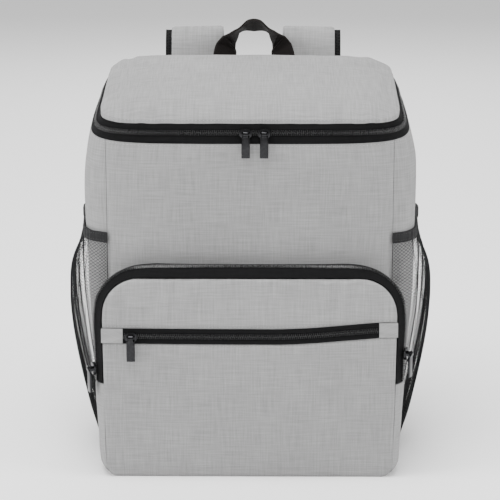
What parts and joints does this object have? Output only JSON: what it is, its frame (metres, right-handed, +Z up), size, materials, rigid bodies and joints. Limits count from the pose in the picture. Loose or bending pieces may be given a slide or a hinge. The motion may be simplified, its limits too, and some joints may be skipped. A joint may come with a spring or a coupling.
{
  "type": "cooler backpack",
  "caption": "Soft box-shaped cooler backpack with a zip-round lid, a front pocket, net side pockets, a webbing handle and padded straps.",
  "frame": {"origin": "on the floor, under the middle of the main compartment, in the plane of the bag's base", "axes": "+Z up, -Y out of the front pocket's face, +X to the viewer's right"},
  "size_m": [0.341, 0.2647, 0.3977],
  "materials": {
    "fabric": "light grey woven polyester with a faint melange, matte",
    "zip_tape": "black woven zip tape, matte",
    "zip_coil": "black nylon coil, satin",
    "webbing": "black polypropylene webbing with a fine rib",
    "net": "black open net with diamond cells",
    "air_mesh": "black spacer mesh, matte",
    "plastic": "black moulded plastic",
    "pull_metal": "gunmetal-black plated zinc, glossy"
  },
  "bodies": {
    "bag": {"front_panel": "fabric", "side_panel_left": "fabric", "side_panel_right": "fabric", "back_panel": "fabric", "base_panel": "fabric", "lid_panel": "fabric", "lid_zip_tape_upper": "zip_tape", "lid_zip_coil": "zip_coil", "lid_zip_tape_lower": "zip_tape", "pocket_face_upper": "fabric", "pocket_face_lower": "fabric", "pocket_zip_tab_left": "fabric", "pocket_zip_tab_right": "fabric", "face_zip_tape_lower": "zip_tape", "face_zip_coil": "zip_coil", "face_zip_tape_upper": "zip_tape", "pocket_zip_tape_front": "zip_tape", "pocket_zip_coil": "zip_coil", "pocket_zip_tape_back": "zip_tape", "pocket_gusset_upper": "fabric", "pocket_gusset_lower": "fabric", "net_left": "net", "net_binding_left": "webbing", "net_right": "net", "net_binding_right": "webbing", "strap_left_cover": "fabric", "strap_left_pad": "air_mesh", "strap_left_adjuster": "plastic", "strap_left_loop": "webbing", "strap_left_webbing": "webbing", "strap_left_anchor": "fabric", "strap_right_cover": "fabric", "strap_right_pad": "air_mesh", "strap_right_adjuster": "plastic", "strap_right_loop": "webbing", "strap_right_webbing": "webbing", "strap_right_anchor": "fabric", "handle": "webbing", "lid_left_slider": "pull_metal", "lid_right_slider": "pull_metal", "face_slider": "pull_metal", "pocket_left_slider": "pull_metal", "pocket_right_slider": "pull_metal"},
    "lid_pull_a": {"lid_left_pull": "pull_metal"},
    "lid_pull_b": {"lid_right_pull": "pull_metal"},
    "front_pull": {"face_pull": "pull_metal"},
    "pocket_pull_a": {"pocket_left_pull": "pull_metal"},
    "pocket_pull_b": {"pocket_right_pull": "pull_metal"}
  },
  "joints": [
    {"name": "lid_left_pull_swing", "type": "hinge", "parent": "bag", "child": "lid_pull_a", "pos_m": [-0.00364, -0.08714, 0.3171], "axis": [-1, 0, 0], "range_deg": [0, 150]},
    {"name": "lid_right_pull_swing", "type": "hinge", "parent": "bag", "child": "lid_pull_b", "pos_m": [0.01301, -0.08714, 0.3171], "axis": [-1, 0, 0], "range_deg": [0, 150]},
    {"name": "face_pull_swing", "type": "hinge", "parent": "bag", "child": "front_pull", "pos_m": [-0.1075, -0.12366, 0.1365], "axis": [-1, 0, 0], "range_deg": [0, 150]},
    {"name": "pocket_left_pull_swing", "type": "hinge", "parent": "bag", "child": "pocket_pull_a", "pos_m": [-0.1462, -0.11137, 0.10324], "axis": [-0.4501, 0.893, 0], "range_deg": [0, 120]},
    {"name": "pocket_right_pull_swing", "type": "hinge", "parent": "bag", "child": "pocket_pull_b", "pos_m": [0.14654, -0.11068, 0.11811], "axis": [-0.4611, -0.8874, 0], "range_deg": [0, 120]}
  ]
}
